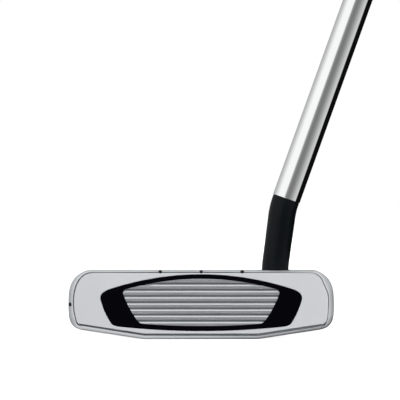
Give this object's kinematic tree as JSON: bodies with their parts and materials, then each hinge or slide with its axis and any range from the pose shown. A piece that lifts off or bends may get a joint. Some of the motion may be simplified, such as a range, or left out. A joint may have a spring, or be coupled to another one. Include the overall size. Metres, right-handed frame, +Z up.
{
  "type": "mallet putter",
  "caption": "Right-handed mallet golf putter: winged aluminium head, slotted beam face insert, bent black neck, chrome steel shaft, pistol grip and unscrewing sole weights.",
  "frame": {"origin": "on the flat of the sole, under the middle of the face and 30 mm behind the leading edge", "axes": "+X from toe to heel, towards the player; +Y away from the target, from the face to the back of the head; +Z up; the face looks to -Y and the shaft leans to +X"},
  "size_m": [0.3713, 0.0931, 0.8154],
  "materials": {
    "satin_silver": "satin",
    "insert_polymer": "satin",
    "beam_aluminium": "satin",
    "black_anodised": "matte",
    "black_steel": "satin",
    "plain_steel": "satin",
    "ballast_metal": "matte",
    "chrome_steel": "polished",
    "white_enamel": "satin",
    "black_enamel": "satin",
    "bond_film": "matte",
    "damping_foam": "matte",
    "seal_rubber": "matte",
    "grip_tape": "matte",
    "grip_rubber": "matte"
  },
  "bodies": {
    "putter": {"head_frame": "satin_silver", "face_insert_body": "insert_polymer", "face_insert_adhesive": "bond_film", "face_insert_beam_1": "beam_aluminium", "face_insert_beam_2": "beam_aluminium", "face_insert_beam_3": "beam_aluminium", "face_insert_beam_4": "beam_aluminium", "face_insert_beam_5": "beam_aluminium", "face_insert_beam_6": "beam_aluminium", "face_insert_beam_7": "beam_aluminium", "face_insert_beam_8": "beam_aluminium", "crown_plate": "black_anodised", "sight_line": "white_enamel", "core_foam": "damping_foam", "sole_plate": "black_anodised", "crown_screw_1": "plain_steel", "crown_screw_2": "plain_steel", "crown_screw_3": "plain_steel", "crown_screw_4": "plain_steel", "sole_screw_1": "plain_steel", "sole_screw_2": "plain_steel", "sole_screw_3": "plain_steel", "sole_screw_4": "plain_steel", "sight_dot_toe": "black_enamel", "sight_dot_centre": "black_enamel", "sight_dot_heel": "black_enamel", "toe_port_plug": "black_enamel", "toe_ballast": "ballast_metal", "heel_ballast": "ballast_metal", "neck": "black_steel", "neck_bolt": "plain_steel", "shaft": "chrome_steel", "grip_tape": "grip_tape", "grip": "grip_rubber", "grip_cap": "grip_rubber"},
    "toe_seal": {"toe_weight_seal": "seal_rubber"},
    "toe_weight": {"toe_sole_weight": "plain_steel"},
    "heel_seal": {"heel_weight_seal": "seal_rubber"},
    "heel_weight": {"heel_sole_weight": "plain_steel"}
  },
  "joints": [
    {"name": "toe_weight_travel", "type": "slide", "parent": "putter", "child": "toe_seal", "axis": [-0.1495, 0, -0.9888], "range_m": [0, 0.005]},
    {"name": "toe_weight_turn", "type": "hinge", "parent": "toe_seal", "child": "toe_weight", "pos_m": [-0.0385, 0.038, 0.00259], "axis": [-0.1495, 0, -0.9888], "range_deg": [0, 1800]},
    {"name": "heel_weight_travel", "type": "slide", "parent": "putter", "child": "heel_seal", "axis": [0.1495, 0, -0.9888], "range_m": [0, 0.005]},
    {"name": "heel_weight_turn", "type": "hinge", "parent": "heel_seal", "child": "heel_weight", "pos_m": [0.0385, 0.038, 0.00259], "axis": [0.1495, 0, -0.9888], "range_deg": [0, 1800]}
  ],
  "couplings": [
    {"joint": "toe_weight_travel", "follows": "toe_weight_turn", "m_per_rad": 0.00015915},
    {"joint": "heel_weight_travel", "follows": "heel_weight_turn", "m_per_rad": 0.00015915}
  ]
}
